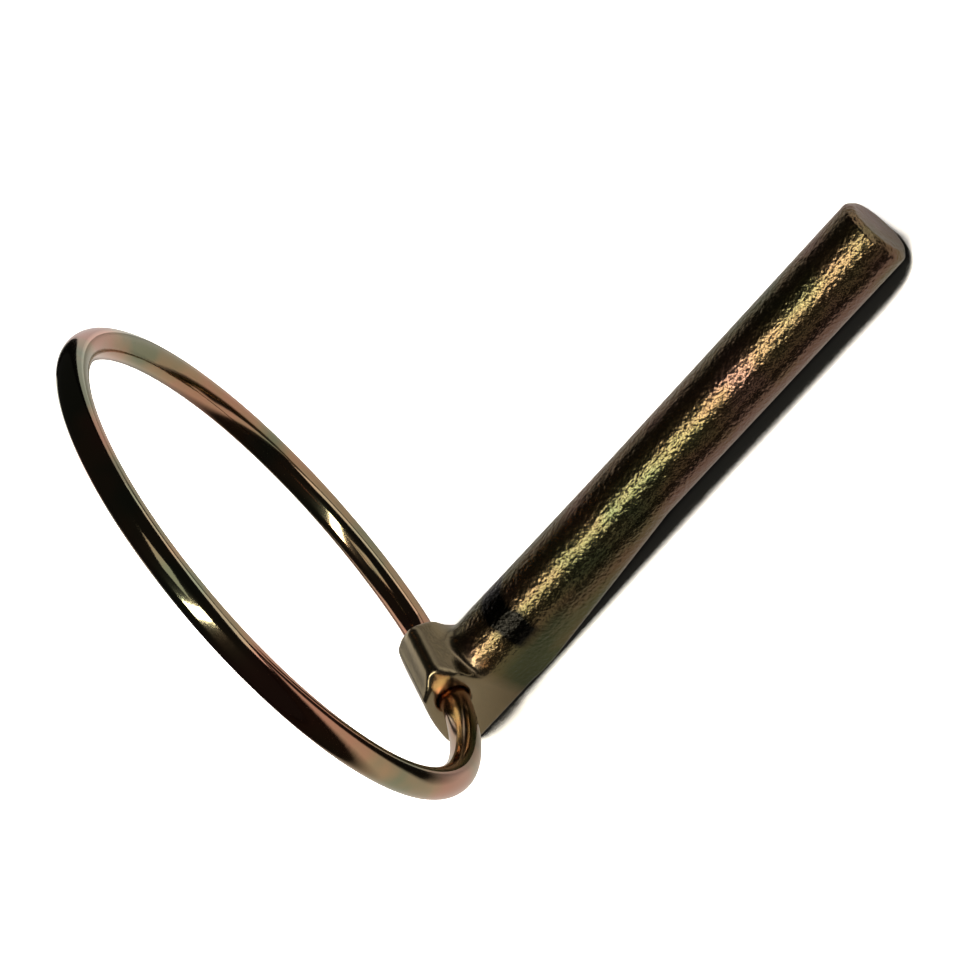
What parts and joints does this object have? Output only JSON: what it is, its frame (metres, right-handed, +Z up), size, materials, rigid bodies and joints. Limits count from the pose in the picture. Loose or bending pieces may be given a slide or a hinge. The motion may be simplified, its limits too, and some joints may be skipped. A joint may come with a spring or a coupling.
{
  "type": "lynch pin",
  "caption": "Steel lynch pin lying on its side: a forged pin with a bored, flat-sided head and a round spring-wire ring hinged through it.",
  "frame": {"origin": "on the surface it lies on, at the middle of the part's length and of the ring's width, 1 mm beside the pin's middle plane because the ring has slid that far along its hinge", "axes": "+X along the shank to its tip, +Z up from the flat underside, +Y along the ring's hinge axis"},
  "size_m": [0.088, 0.073, 0.079],
  "materials": {
    "pin_plating": "satin yellow-chromate zinc plate over forged steel",
    "ring_plating": "bright yellow-chromate zinc plate over drawn spring wire"
  },
  "bodies": {
    "pin": {"forged_pin": "pin_plating"},
    "ring": {"spring_ring": "ring_plating"}
  },
  "joints": [
    {"name": "ring_hinge", "type": "hinge", "parent": "pin", "child": "ring", "pos_m": [-0.0374, -0.001, 0.0087], "axis": [0, -1, 0], "range_deg": [-77, 100]}
  ]
}
